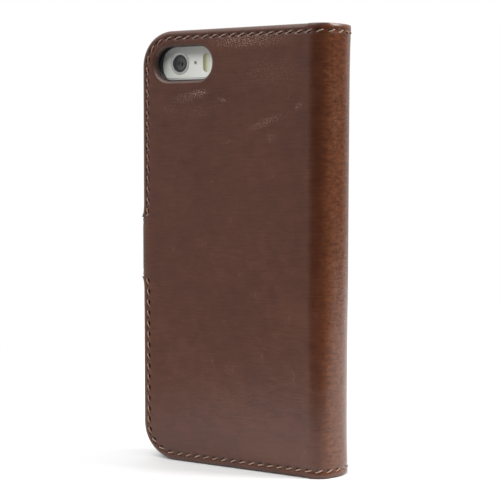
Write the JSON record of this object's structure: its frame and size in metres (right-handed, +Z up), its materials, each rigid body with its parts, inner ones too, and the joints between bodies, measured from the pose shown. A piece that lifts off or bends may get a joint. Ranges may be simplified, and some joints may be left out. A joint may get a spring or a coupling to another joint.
{
  "type": "phone wallet case",
  "caption": "Book-style leather wallet case holding a slim phone, with a camera window, card slots, note pocket and magnetic closing strap.",
  "frame": {"origin": "middle of the bottom edge of the back's outer face", "axes": "+Z up the case, which stands on its bottom edge; the back's outer face looks to -Y and the cover is at +Y; the spine is at +X and the free edge with the closing strap at -X"},
  "size_m": [0.0676, 0.0391, 0.13],
  "materials": {
    "outer_leather": "waxed, semi-gloss",
    "pocket_leather": "waxed, semi-gloss",
    "fibreboard": "raw fibreboard",
    "lining_fabric": "brushed microfibre",
    "thread": "waxed polyester thread",
    "tape": "double-sided foam tape",
    "tray_plastic": "fine satin moulding",
    "steel": "plain",
    "phone_metal": "bead-blasted, anodised",
    "front_glass": "polished black",
    "rear_glass": "polished, white behind",
    "lens_glass": "polished black",
    "flash_diffuser": "clear diffuser"
  },
  "bodies": {
    "back": {"back_skin": "outer_leather", "back_board": "fibreboard", "back_lining": "lining_fabric", "back_stitches": "thread", "tray_tape": "tape", "phone_tray": "tray_plastic"},
    "spine": {"spine_skin": "outer_leather", "spine_stiffener": "fibreboard", "spine_lining": "lining_fabric", "spine_stitches": "thread", "back_fold": "outer_leather"},
    "cover": {"cover_skin": "outer_leather", "cover_board": "fibreboard", "cover_lining": "lining_fabric", "cover_stitches": "thread", "keeper_plate": "steel", "note_pocket": "pocket_leather", "card_slot_1": "pocket_leather", "card_slot_2": "pocket_leather", "card_slot_3": "pocket_leather", "pocket_stitches": "thread", "front_fold": "outer_leather"},
    "strap": {"strap_skin": "outer_leather", "strap_lining": "lining_fabric", "strap_stitches": "thread", "strap_root_fold": "outer_leather"},
    "tab": {"tab_skin": "outer_leather", "tab_lining": "lining_fabric", "tab_stitches": "thread", "magnet": "steel", "strap_front_fold": "outer_leather"},
    "phone": {"phone_shell": "phone_metal", "front_glass": "front_glass", "rear_glass": "rear_glass", "camera_ring": "phone_metal", "camera_lens": "lens_glass", "flash_window": "flash_diffuser"}
  },
  "joints": [
    {"name": "spine_hinge", "type": "hinge", "parent": "back", "child": "spine", "pos_m": [0.03092, 0.00158, 0], "axis": [0, 0, -1], "range_deg": [0, 180], "deforming": ["back_fold"]},
    {"name": "cover_hinge", "type": "hinge", "parent": "spine", "child": "cover", "pos_m": [0.03092, 0.01562, 0], "axis": [0, 0, -1], "range_deg": [0, 180], "deforming": ["front_fold"]},
    {"name": "strap_root_hinge", "type": "hinge", "parent": "back", "child": "strap", "pos_m": [-0.03325, 0.00085, 0.065], "axis": [0, 0, 1], "range_deg": [0, 150], "deforming": ["strap_root_fold"]},
    {"name": "strap_front_hinge", "type": "hinge", "parent": "strap", "child": "tab", "pos_m": [-0.0333, 0.018, 0.065], "axis": [0, 0, 1], "range_deg": [-90, 30], "deforming": ["strap_front_fold"]},
    {"name": "phone_slide", "type": "slide", "parent": "back", "child": "phone", "axis": [0, 0, 1], "range_m": [0, 0.13]}
  ]
}
